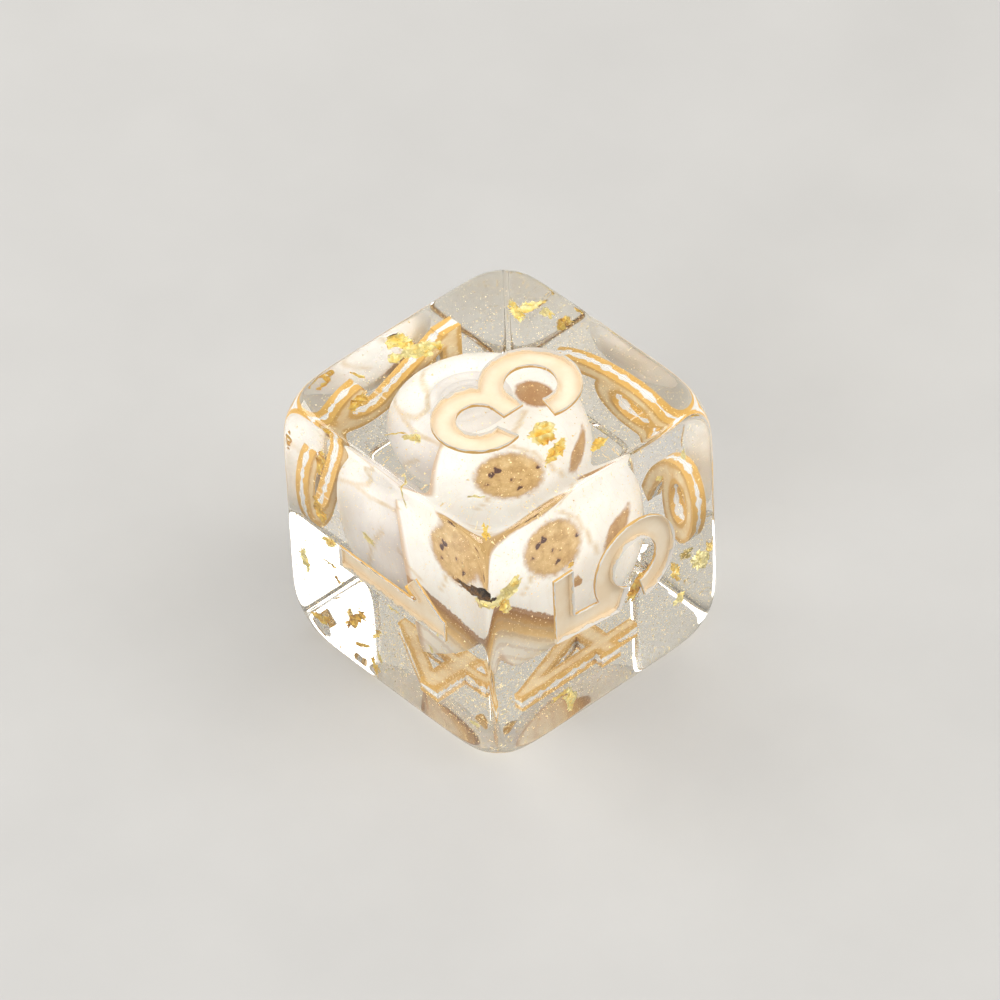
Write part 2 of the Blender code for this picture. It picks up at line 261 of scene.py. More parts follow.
def grain(look, where, scale, detail=3.0, roughness=0.55, distortion=0.0):
    inputs = {
        "Vector": where,
        "Scale": scale,
        "Detail": detail,
        "Roughness": roughness,
        "Distortion": distortion,
    }
    return add(look, "ShaderNodeTexNoise", inputs).outputs["Fac"]


def ramp(look, value, *stops):
    """A colour ramp from (position, colour) stops."""
    made = add(look, "ShaderNodeValToRGB", {"Fac": value})
    elements = made.color_ramp.elements
    while len(elements) < len(stops):
        elements.new(0.5)
    for element, (position, colour) in zip(elements, stops):
        element.position = position
        element.color = colour
    return made.outputs["Color"]


def between(look, value, low, high):
    """0 below low, 1 above high, and a smooth step between."""
    inputs = {"Value": value, "From Min": low, "From Max": high}
    made = add(look, "ShaderNodeMapRange", inputs, interpolation_type="SMOOTHSTEP")
    return made.outputs["Result"]


def mixed(look, share, first, second):
    """The first colour at a share of 0, the second at 1."""
    made = add(look, "ShaderNodeMix", data_type="RGBA")
    for socket, value in ((made.inputs[0], share), (made.inputs[6], first), (made.inputs[7], second)):
        if isinstance(value, bpy.types.NodeSocket):
            look.node_tree.links.new(value, socket)
        else:
            socket.default_value = value
    return made.outputs[2]


def attribute(look, name):
    return add(look, "ShaderNodeAttribute", attribute_name=name).outputs["Fac"]


def bumped(look, height, strength, distance):
    inputs = {"Height": height, "Strength": strength, "Distance": distance}
    return add(look, "ShaderNodeBump", inputs).outputs["Normal"]


def surface(look, shader):
    add(look, "ShaderNodeOutputMaterial", {"Surface": shader})
    return look


def grey(value):
    return (value, value, value, 1.0)


def resin_look():
    """Clear resin: faint waviness from the mould, fine dust and hairline marks on the skin."""
    look = new_look("clear_resin_look")
    where = millimetres(look)
    waves = grain(look, where, 0.25, 1.0)
    marks = grain(look, where, 9.0, 6.0, 0.7, 0.6)
    height = maths(look, "MULTIPLY_ADD", marks, 0.004, waves)
    smudge = between(look, grain(look, where, 1.1, 4.0), 0.45, 0.75)
    rough = maths(look, "MULTIPLY_ADD", smudge, 0.035, 0.004)
    inputs = {
        "Base Color": (0.978, 0.970, 0.940, 1.0),
        "Roughness": rough,
        "IOR": RESIN_IOR,
        "Transmission Weight": 1.0,
        "Normal": bumped(look, height, 0.12, 0.12 * MM),
    }
    glass = add(look, "ShaderNodeBsdfPrincipled", inputs).outputs[0]
    clear = add(look, "ShaderNodeBsdfTransparent", {"Color": (0.93, 0.92, 0.89, 1.0)}).outputs[0]
    shadow = add(look, "ShaderNodeLightPath").outputs["Is Shadow Ray"]
    return surface(look, add(look, "ShaderNodeMixShader", {0: shadow, 1: glass, 2: clear}).outputs[0])


def speckled(look, where):
    """Above 0 inside scattered specks of several sizes, and below it outside them."""
    ragged = add(look, "ShaderNodeTexNoise", {"Vector": where, "Scale": 3.0, "Detail": 4.0})
    shift = {0: ragged.outputs["Color"], 1: (0.5, 0.5, 0.5), 2: where}
    moved = add(look, "ShaderNodeVectorMath", shift, operation="MULTIPLY_ADD")
    cells = add(look, "ShaderNodeTexVoronoi", {"Vector": moved.outputs[0], "Scale": 1.75})
    lot = add(look, "ShaderNodeSeparateColor", {0: cells.outputs["Color"]}).outputs[0]
    size = maths(look, "MULTIPLY", between(look, lot, 0.34, 0.92), 0.42)
    return maths(look, "SUBTRACT", size, cells.outputs["Distance"])


def shell_look():
    """Porcelain shell: grey-lilac spire, white body, brown blotches with dark specks, a brown base whose
    dark top edge is painted shadow, and painted shade in its creases.
    """
    look = new_look("shell_porcelain_look")
    where = millimetres(look)
    turn = attribute(look, "turn")
    cloud = grain(look, where, 0.5, 4.0)
    fine = grain(look, where, 2.6, 5.0, 0.6, 0.3)

    body = ramp(look, cloud, (0.3, (0.89, 0.87, 0.84, 1)), (0.6, (0.95, 0.95, 0.94, 1)))
    spire = ramp(look, cloud, (0.3, (0.76, 0.72, 0.72, 1)), (0.7, (0.89, 0.86, 0.84, 1)))
    colour = mixed(look, between(look, turn, *SPIRE_TURNS), spire, body)

    # growth lines run across the whorl, at steady values of the turn
    wobble = maths(look, "MULTIPLY_ADD", cloud, 0.5, turn)
    lines = maths(look, "SINE", maths(look, "MULTIPLY", wobble, GROWTH_LINES))
    faint = maths(look, "MULTIPLY", between(look, lines, 0.9, 1.0), 0.07)
    colour = mixed(look, faint, colour, (0.62, 0.42, 0.25, 1))

    # blotches, darker towards their rims, with specks unless they are dark and plain
    fray = maths(look, "SUBTRACT", fine, 0.5)
    edge = maths(look, "MULTIPLY_ADD", fray, 0.30, attribute(look, "blotch"))
    tan = ramp(
        look,
        grain(look, where, 1.0, 6.0, 0.7),
        (0.34, (0.50, 0.30, 0.11, 1)),
        (0.50, (0.66, 0.45, 0.20, 1)),
        (0.64, (0.78, 0.59, 0.31, 1)),
    )
    rim = between(look, edge, 0.30, 0.02)
    tan = mixed(look, maths(look, "MULTIPLY", rim, 0.55), tan, (0.36, 0.16, 0.06, 1))
    plain_dark = attribute(look, "plain_dark")
    tan = mixed(look, maths(look, "MULTIPLY", plain_dark, 0.65), tan, (0.38, 0.17, 0.07, 1))
    inside = maths(look, "MULTIPLY_ADD", plain_dark, -0.5, speckled(look, where))
    halo = maths(look, "MULTIPLY", between(look, inside, -0.16, 0.04), 0.45)
    tan = mixed(look, halo, tan, (0.36, 0.14, 0.05, 1))
    tan = mixed(look, between(look, inside, 0.0, 0.09), tan, (0.09, 0.032, 0.025, 1))
    colour = mixed(look, between(look, edge, -0.08, 0.20), colour, tan)
    # tan stains, and the painted shade line along a valley of the body
    stain_and_shade_line = maths(look, "MULTIPLY", attribute(look, "stain_and_shade_line"), maths(look, "MULTIPLY", fine, 1.1))
    colour = mixed(look, stain_and_shade_line, colour, (0.66, 0.49, 0.26, 1))

    # the base: a dark edge that is painted shadow under the overhanging white whorl, a striped brown
    # band and then grey
    base = maths(look, "MULTIPLY_ADD", fray, 0.5, attribute(look, "base"))
    stripes = maths(look, "SINE", maths(look, "MULTIPLY", base, 7.0))
    band = ramp(
        look,
        between(look, base, 0.0, 3.0),
        # the darkest stop, at the top of the band, is painted shadow under the white whorl
        (0.00, (0.30, 0.12, 0.025, 1)),
        (0.18, (0.56, 0.30, 0.075, 1)),
        (0.60, (0.90, 0.62, 0.26, 1)),
        (1.00, (0.95, 0.88, 0.78, 1)),
    )
    striped = maths(look, "MULTIPLY", between(look, stripes, 0.2, 1.0), 0.35)
    band = mixed(look, striped, band, (0.60, 0.42, 0.26, 1))
    colour = mixed(look, between(look, base, -0.05, 0.12), colour, band)

    # tan set by occlusion: partly the real tan suture lines, partly painted shade that darkens the
    # creases; and a tan line along the lip
    open_sky = add(look, "ShaderNodeAmbientOcclusion", {"Distance": 0.5 * MM}, samples=6).outputs["AO"]
    suture_tan_and_crease_shade = between(look, open_sky, 0.75, 0.45)
    colour = mixed(look, maths(look, "MULTIPLY", suture_tan_and_crease_shade, 0.6), colour, (0.55, 0.35, 0.19, 1))
    lip = between(look, turn, *LIP_TURNS)
    colour = mixed(look, maths(look, "MULTIPLY", lip, 0.7), colour, (0.58, 0.36, 0.19, 1))

    height = maths(look, "MULTIPLY_ADD", lines, 0.08, fine)
    inputs = {
        "Base Color": colour,
        "Roughness": 0.38,
        "Subsurface Weight": 0.12,
        "Subsurface Radius": (0.6 * MM, 0.4 * MM, 0.3 * MM),
        "Subsurface Scale": 1.0,
        "Normal": bumped(look, height, 0.35, 0.03 * MM),
    }
    return surface(look, add(look, "ShaderNodeBsdfPrincipled", inputs).outputs[0])


def paint_look(name, pale, deep, metallic, wall_shade_share):
    """Brushed-in numeral paint, mottled, slightly grainy and streaked, and deeper towards the recess
    walls, partly painted shade of the walls.
    """
    look = new_look(name)
    where = millimetres(look)
    patches = grain(look, where, 0.7, 5.0, 0.6)
    pores = grain(look, where, 14.0, 4.0, 0.7)
    across = attribute(look, "across")
    # deeper towards the walls: partly the paint's own colour, partly painted shade in the recess
    edge = between(look, across, 0.15, 0.62)
    depth = maths(look, "MULTIPLY_ADD", edge, wall_shade_share, maths(look, "MULTIPLY", patches, 1 - wall_shade_share))
    colour = ramp(look, depth, (0.26, pale), (0.56, deep))
    ridge_inner = between(look, across, 0.36, 0.42)
    ridge_outer = between(look, across, 0.50, 0.44)
    ridge = maths(look, "MULTIPLY", ridge_inner, ridge_outer)
    streaks = maths(look, "MULTIPLY", ridge, between(look, grain(look, where, 2.2, 4.0), 0.40, 0.62))
    colour = mixed(look, maths(look, "MULTIPLY", streaks, 0.5), colour, deep)
    height = maths(look, "ADD", patches, maths(look, "MULTIPLY", pores, 0.3))
    inputs = {
        "Base Color": colour,
        "Metallic": metallic,
        "Roughness": maths(look, "MULTIPLY_ADD", pores, 0.3, 0.3),
        "Normal": bumped(look, height, 0.5, 0.04 * MM),
    }
    return surface(look, add(look, "ShaderNodeBsdfPrincipled", inputs).outputs[0])


def leaf_look():
    """Gold leaf: bright yellow to dark brown, coloured with painted shade in the creases and painted
    highlight on the ridges of its crumples.
    """
    look = new_look("gold_leaf_look")
    where = millimetres(look)
    # the stored tone with its painted shade and highlight, plus a noise
    shade = maths(look, "MULTIPLY_ADD", grain(look, where, 3.0, 4.0), 0.5, attribute(look, "shade"))
    colour = ramp(
        look,
        shade,
        (0.12, (0.07, 0.035, 0.008, 1)),
        (0.38, (0.42, 0.19, 0.02, 1)),
        (0.60, (0.90, 0.56, 0.09, 1)),
        (0.82, (1.0, 0.78, 0.22, 1)),
        (1.00, (1.0, 0.91, 0.48, 1)),
    )
    folds = grain(look, where, 6.0, 5.0, 0.6, 0.8)
    inputs = {
        "Base Color": colour,
        "Metallic": 0.85,
        "Roughness": maths(look, "MULTIPLY_ADD", folds, 0.25, 0.18),
        "Normal": bumped(look, folds, 0.9, 0.06 * MM),
    }
    return surface(look, add(look, "ShaderNodeBsdfPrincipled", inputs).outputs[0])


def dust_look():
    """Gold dust: pale flecks with a painted glint, a faint glow in patches that shows from any side."""
    look = new_look("gold_dust_look")
    painted_glint = grain(look, millimetres(look), 5.0, 2.0)
    shade = attribute(look, "shade")
    inputs = {
        "Base Color": ramp(look, shade, (0.2, (0.85, 0.62, 0.28, 1)), (0.7, (1.0, 0.90, 0.62, 1))),
        "Metallic": 0.5,
        "Roughness": 0.35,
        # painted glint: emission makes the flecks glow though they are no lamp
        "Emission Color": (1.0, 0.86, 0.52, 1),
        "Emission Strength": maths(look, "MULTIPLY", between(look, painted_glint, 0.4, 0.65), 0.45),
    }
    return surface(look, add(look, "ShaderNodeBsdfPrincipled", inputs).outputs[0])


def floor_look():
    """A plain pale floor with a faint grain."""
    look = new_look("pale_floor_look")
    where = millimetres(look)
    tone = ramp(look, grain(look, where, 0.06, 4.0), (0.3, grey(0.56)), (0.7, grey(0.60)))
    inputs = {
        "Base Color": tone,
        "Roughness": 0.45,
        "Normal": bumped(look, grain(look, where, 3.0, 5.0), 0.08, 0.05 * MM),
    }
    return surface(look, add(look, "ShaderNodeBsdfPrincipled", inputs).outputs[0])


# ---------------------------------------------------------------- geometry helpers


def piece_from(bm, name, looks):
    mesh = bpy.data.meshes.new(name)
    bm.to_mesh(mesh)
    bm.free()
    for look in looks:
        mesh.materials.append(look)
    obj = bpy.data.objects.new(name, mesh)
    bpy.context.scene.collection.objects.link(obj)
    return obj


def boolean(obj, other, operation):
    modifier = obj.modifiers.new(operation.lower(), "BOOLEAN")
    modifier.operation = operation
    modifier.object = other
    modifier.solver = "MANIFOLD"


def apply_modifiers(obj):
    graph = bpy.context.evaluated_depsgraph_get()
    mesh = bpy.data.meshes.new_from_object(obj.evaluated_get(graph))
    obj.modifiers.clear()
    obj.data = mesh


def discard(*objs):
    for obj in objs:
        bpy.data.objects.remove(obj)


def smooth_noise(point, scale, seed):
    return noise.noise(Vector(point) * scale + Vector((seed, seed * 0.7, -seed)))


# ---------------------------------------------------------------- resin


def worn_terms(point):
    """1 on a face or on the corner ball: their high powers add up only near an edge or a corner."""
    return [abs(value) / HALF_SIDE for value in point] + [point.length / CORNER_REACH]


def worn_point(point):
    """Pulls a point of the sharp cube in to the tumbled one."""
    return point * sum(term**SHARPNESS for term in worn_terms(point)) ** (-1 / SHARPNESS)


def worn_normal(point):
    """The tumbled cube's outward direction at a point of its surface."""
    *faces, ball = (term ** (SHARPNESS - 1) for term in worn_terms(point))
    slope = Vector(math.copysign(face, value) / HALF_SIDE for face, value in zip(faces, point))
    return (slope + point * ball / (point.length * CORNER_REACH)).normalized()


def tumbled_cube():
    """The die's rounded cube without its numerals."""
    bm = bmesh.new()
    bmesh.ops.create_cube(bm, size=2 * HALF_SIDE)
    for axis in range(3):
        normal = Vector((axis == 0, axis == 1, axis == 2))
        for cut in FACE_CUTS_MM:
            for side in {cut, -cut}:
                bmesh.ops.bisect_plane(
                    bm,
                    geom=bm.verts[:] + bm.edges[:] + bm.faces[:],
                    dist=1e-9,
                    plane_co=normal * side * MM,
                    plane_no=normal,
                )
    for vertex in bm.verts:
        vertex.co = worn_point(vertex.co.copy())
    return bm


def polish(obj):
    """Sets the skin's normals from its exact shape, and keeps the recess walls crisp."""
    mesh = obj.data
    for polygon in mesh.polygons:
        polygon.use_smooth = True
    mesh.set_sharp_from_angle(angle=CREASE_ANGLE)
    normals = [Vector(corner.vector) for corner in mesh.corner_normals]
    for polygon in mesh.polygons:
        for loop in polygon.loop_indices:
            place = mesh.vertices[mesh.loops[loop].vertex_index].co
            wanted = worn_normal(place)
            on_skin = abs(sum(term**SHARPNESS for term in worn_terms(place)) - 1) < SKIN_TOLERANCE
            if on_skin and polygon.normal.dot(wanted) > SKIN_FACING:
                normals[loop] = wanted
    mesh.normals_split_custom_set(normals)


# ---------------------------------------------------------------- numerals


def line(start, end):
    """Evenly spaced points along a straight stroke."""
    start, end = Vector(start), Vector(end)
    count = max(1, math.ceil((end - start).length / PATH_STEP))
    return [start.lerp(end, i / count) for i in range(count + 1)]


def arc(centre, radius, start, end):
    """Evenly spaced points along a round stroke, between two angles in degrees."""
    start = math.radians(start)
    sweep = math.radians(end) - start
    count = max(2, math.ceil(abs(sweep) * radius / PATH_STEP))
    angles = [start + sweep * i / count for i in range(count + 1)]
    return [Vector(centre) + radius * Vector((math.cos(a), math.sin(a))) for a in angles]


def numeral_strokes(digit):
    """The centre lines of a numeral's strokes, in millimetres, with +Y up the numeral."""
    if digit == "1":
        return [line((0.5, -3.75), (0.5, 4.4)), line((0.55, 4.0), (-1.25, 1.8))]
    if digit == "2":
        return [
            arc((0.0, 1.95), 2.1, 165, -38),
            line((1.85, 0.95), (-2.1, -3.6)),
            line((-2.6, -3.65), (2.7, -3.65)),
        ]
    if digit == "3":
        return [
            arc((0.05, -2.0), 2.05, 90, -195),
            arc((-0.1, 1.8), 1.8, -90, 196),
            line((0.3, 0.02), (-0.85, 0.02)),
        ]
    if digit == "4":
        return [
            line((1.0, 3.7), (1.0, -4.5)),
            line((-3.6, -2.2), (2.8, -2.2)),
            line((0.95, 3.2), (-3.1, -2.1)),
        ]
    if digit == "5":
        return [
            line((-1.9, 2.95), (2.25, 2.95)),
            line((-1.4, 3.55), (-2.0, -0.9)),
            arc((0.0, -2.0), 2.15, 157, -167),
        ]
    return [arc((0.1, -1.9), 2.05, 0, 360), arc((5.3, -1.9), 7.25, 180, 126)]


def ribbon(path, width, low, top, extend):
    """A flat stroke along a path, from a low level up to a top that may vary over it."""
    closed = (path[0] - path[-1]).length < 1e-6
    points = path[:-1] if closed else list(path)
    if extend and not closed:
        points[0] = points[0] + (points[0] - points[1]).normalized() * extend
        points[-1] = points[-1] + (points[-1] - points[-2]).normalized() * extend
    count = len(points)
    bm = bmesh.new()
    rings = []
    for i, point in enumerate(points):
        before = points[i - 1] if i or closed else point
        after = points[(i + 1) % count] if i + 1 < count or closed else point
        along = (after - before).normalized()
        across = Vector((-along.y, along.x)) * width / 2
        ring = []
        for side, level in RIBBON_SECTION:
            place = point + side * across
            height = top(place) if level else low
            ring.append(bm.verts.new((place.x * MM, place.y * MM, height)))
        rings.append(ring)
    for here, there in zip(rings, rings[1:] + rings[:1] if closed else rings[1:]):
        for a, b in zip(range(len(here)), (*range(1, len(here)), 0)):
            bm.faces.new((here[a], here[b], there[b], there[a]))
    if not closed:
        bm.faces.new(rings[0])
        bm.faces.new(rings[-1])
    bmesh.ops.recalc_face_normals(bm, faces=bm.faces)
    return piece_from(bm, "stroke", [])


def clear_of_face(place):
    """The level top of a cutter, the same at every place."""
    return CLEAR_OF_FACE


def numeral_solid(digit, width, low, top, extend=0.0):
    """One numeral as a closed solid in its own coordinates."""
    made = [ribbon(path, width, low, top, extend) for path in numeral_strokes(digit)]
    for other in made[1:]:
        boolean(made[0], other, "UNION")
    apply_modifiers(made[0])
    discard(*made[1:])
    return made[0]


def numeral_placing(digit, solid):
    """Takes numeral coordinates to the die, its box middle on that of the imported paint."""
    normal, up = (Vector(v) for v in NUMERALS[digit])
    right = up.cross(normal)
    low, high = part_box(f"numeral_{digit}_paint")
    middle = (low + high) / 2
    xs = [v.co.x for v in solid.data.vertices]
    ys = [v.co.y for v in solid.data.vertices]
    shift = right * (middle.dot(right) - (min(xs) + max(xs)) / 2)
    shift += up * (middle.dot(up) - (min(ys) + max(ys)) / 2)
    turn = Matrix((right, up, normal)).transposed().to_4x4()
    return Matrix.Translation(shift + normal * HALF_SIDE) @ turn


def paint_cup(digit, outside, inside):
    """The paint in a recess: a floor and thin walls that end unevenly just under the face."""
    seed = 3.1 * int(digit)

    def rim(place):
        wave = smooth_noise((place.x, place.y, 0), 2.2, seed)
        wave += 0.6 * smooth_noise((place.x, place.y, 1), 7.0, seed)
        return PAINT_RIM + max(-RIM_WAVE_LIMIT, min(RIM_WAVE_LIMIT, wave * RIM_WAVE)) * MM

    bottom = -NUMERAL_DEPTH - PAINT_BITE * MM
    floor = -NUMERAL_DEPTH + PAINT_FLOOR
    cup = numeral_solid(digit, STROKE + 2 * PAINT_BITE, bottom, rim, PAINT_BITE)
    hollow = numeral_solid(digit, STROKE - 2 * PAINT_WALL, floor, clear_of_face, -PAINT_WALL)
    boolean(cup, hollow, "DIFFERENCE")
    apply_modifiers(cup)
    discard(hollow)
    strokes = [np.array([tuple(p) for p in path]) for path in numeral_strokes(digit)]
    cup.data.materials.clear()
    cup.data.materials.append(outside)
    cup.data.materials.append(inside)
    for polygon in cup.data.polygons:
        probe = polygon.center + polygon.normal * PROBE
        near = min(stroke_distance(path, probe.x / MM, probe.y / MM) for path in strokes)
        faces_resin = near > STROKE / 2 + PAINT_BITE or probe.z < -NUMERAL_DEPTH
        polygon.material_index = 1 if faces_resin else 0
        polygon.use_smooth = True
    cup.data.set_sharp_from_angle(angle=CREASE_ANGLE)
    places = [(v.co.x / MM, v.co.y / MM) for v in cup.data.vertices]
    across = [min(stroke_distance(path, x, y) for path in strokes) for x, y in places]
    cup.data.attributes.new("across", "FLOAT", "POINT").data.foreach_set("value", across)
    return cup


def stroke_distance(path, x, y):
    """How far a point lies from a stroke's centre line, or more past its square ends."""
    gaps = path - np.array((x, y))
    nearest = int(np.argmin((gaps**2).sum(axis=1)))
    distance = float(np.hypot(*gaps[nearest]))
    closed = np.hypot(*(path[0] - path[-1])) < 1e-6
    if not closed and nearest in (0, len(path) - 1):
        inward = path[1] - path[0] if nearest == 0 else path[-2] - path[-1]
        past = float(gaps[nearest] @ inward / np.hypot(*inward))
        if past > 0:
            return STROKE / 2 + past
    return distance


# ---------------------------------------------------------------- shell


def whorl_rings(turns, scales):
    """The tube's sections for a list of turns, as an array of rings in the shell's own axes."""
    size = (GROWTH ** (turns / math.tau))[:, None, None]
    azimuth = MOUTH_AZIMUTH - turns
    outward = np.stack([np.cos(azimuth), np.sin(azimuth), 0 * azimuth], axis=1)[:, None, :]
    a = (math.tau * np.arange(SECTION_SIDES) / SECTION_SIDES)[None, :, None]
    upward = np.array([0.0, 0.0, 1.0])
    centre = outward * WHORL_OFFSET * size - upward * WHORL_DROP * size
    spread = size * scales[:, None, None]
    power = np.where(a > math.pi, BASE_FULLNESS, 1.0)
    across = np.sign(np.cos(a)) * np.abs(np.cos(a)) ** power
    along = np.sign(np.sin(a)) * np.abs(np.sin(a)) ** power
    return centre + (outward * across * WHORL_RADIUS + upward * along * WHORL_HEIGHT) * spread


def shell_points():
    """The shell's rings of points in the die, and each point's turn."""
    steps = int(SHELL_TURNS * STEPS_A_TURN)
    outer = np.linspace(-math.tau * SHELL_TURNS, 0.0, steps + 1)
    inward = np.linspace(0, 1, MOUTH_RINGS)
    turns = np.concatenate([outer, LIP_ROLL, -MOUTH_DEPTH * inward])
    lip = np.linspace(1.0, LIP_SCALE, len(LIP_ROLL) + 2)[1:-1]
    narrow = LIP_SCALE * (1 - MOUTH_NARROWING * inward)
    scales = np.concatenate([np.ones(steps + 1), lip, narrow])
    rings = whorl_rings(turns, scales)
    up = SHELL_AXIS.normalized()
    side = Vector((0, 1, 0)).cross(up).normalized()
    axes = np.array([side, up.cross(side), up])
    points = (rings @ axes) * MM
    low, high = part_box("sea_snail_shell")
    middle = np.array((low + high) / 2)
    flat = points.reshape(-1, 3)
    points += middle - (flat.min(axis=0) + flat.max(axis=0)) / 2
    tag = np.repeat(np.where(np.arange(len(turns)) <= steps, turns, MOUTH_TAG), SECTION_SIDES)
    return points, tag


def shell_piece(look):
    """The shell as one closed skin, from the tip to the back of its mouth."""
    points, turn = shell_points()
    rings, sides = points.shape[:2]
    index = np.arange(rings * sides).reshape(rings, sides)
    after = np.roll(index, -1, axis=1)
    faces = np.stack([index[:-1], after[:-1], after[1:], index[1:]], axis=-1).reshape(-1, 4).tolist()
    faces.append(index[0][::-1].tolist())
    faces.append(index[-1].tolist())
    mesh = bpy.data.meshes.new("shell_visual")
    mesh.from_pydata(points.reshape(-1, 3).tolist(), [], faces)
    bm = bmesh.new()
    bm.from_mesh(mesh)
    bmesh.ops.recalc_face_normals(bm, faces=bm.faces)
    bm.to_mesh(mesh)
    bm.free()
    mesh.materials.append(look)
    for polygon in mesh.polygons:
        polygon.use_smooth = True
    mesh.update()
    paint_attributes(mesh, turn)
    obj = bpy.data.objects.new("shell_visual", mesh)
    bpy.context.scene.collection.objects.link(obj)
    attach(obj, "root")
    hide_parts("sea_snail_shell")
    return obj


def sight_line(normal):
    """The direction of the camera's rays once they are inside the resin, through one face."""
    flat = -TO_CAMERA / RESIN_IOR
    flat -= flat.dot(normal) * normal
    return flat - math.sqrt(1 - flat.length_squared) * normal


def seen_through(points, face):
    """Where each point (mm) appears on a face to the camera, along that face's two directions."""
    normal, right, top = (np.array(v) for v in SEEN_FACES[face])
    ray = np.array(sight_line(Vector(normal)))
    travel = (HALF_SIDE / MM - points @ normal) / (ray @ normal)
    seen = points + travel[:, None] * ray
    return seen @ right, seen @ top


def segment_distance(u, v, start, end):
    """The distance of each (u, v) from a segment."""
    du, dv = end[0] - start[0], end[1] - start[1]
    share = ((u - start[0]) * du + (v - start[1]) * dv) / (du * du + dv * dv)
    share = np.clip(share, 0, 1)
    return np.hypot(u - start[0] - share * du, v - start[1] - share * dv)


def paint_attributes(mesh, turn):
    """Stores what the shell's look needs at each point: turn, blotches, tan lines with a painted shade
    line, and base.
    """
    count = len(mesh.vertices)
    points = np.empty(count * 3)
    mesh.vertices.foreach_get("co", points)
    points = points.reshape(-1, 3) / MM
    normals = np.array([tuple(n.vector) for n in mesh.vertex_normals])
    blotch = np.full(count, -1.0)
    top_ray = np.array(sight_line(SEEN_FACES["top"][0]))
    plain_dark = np.zeros(count)
    for face, across, up, length, width, angle, top_limit, darkness in BLOTCHES:
        ray = np.array(sight_line(SEEN_FACES[face][0]))
        u, v = seen_through(points, face)
        u, v = u - across, v - up
        c, s = math.cos(math.radians(angle)), math.sin(math.radians(angle))
        reach = np.hypot((u * c + v * s) / length, (v * c - u * s) / width)
        value = np.where((normals @ ray < 0) & (turn > BLOTCH_START), 1.0 - reach, -1.0)
        value -= TOP_CUT_OFF * np.clip(-normals @ top_ray - top_limit, 0, 1)
        plain_dark = np.where(value > blotch, darkness, plain_dark)
        blotch = np.maximum(blotch, value)
    stain_and_shade_line = np.zeros(count)
    for face, *path in STAINS_AND_SHADE_LINE:
        u, v = seen_through(points, face)
        gap = np.min([segment_distance(u, v, a, b) for a, b in zip(path, path[1:])], axis=0)
        facing = -normals @ np.array(sight_line(SEEN_FACES[face][0]))
        stain_and_shade_line = np.maximum(stain_and_shade_line, np.clip(2 - gap / TAN_LINE_WIDTH, 0, 1) * (facing > 0))
    base = -BASE_DROP - BASE_SLOPE * (points[:, 1] + BASE_FRONT) - points[:, 2]
    base = np.where(turn > BASE_START, base, -1.0)
    layers = {"turn": turn, "blotch": blotch, "plain_dark": plain_dark, "base": base, "stain_and_shade_line": stain_and_shade_line}
    for name, values in layers.items():
        layer = mesh.attributes.new(name, "FLOAT", "POINT")
        layer.data.foreach_set("value", values.astype(np.float32))


# ---------------------------------------------------------------- gold


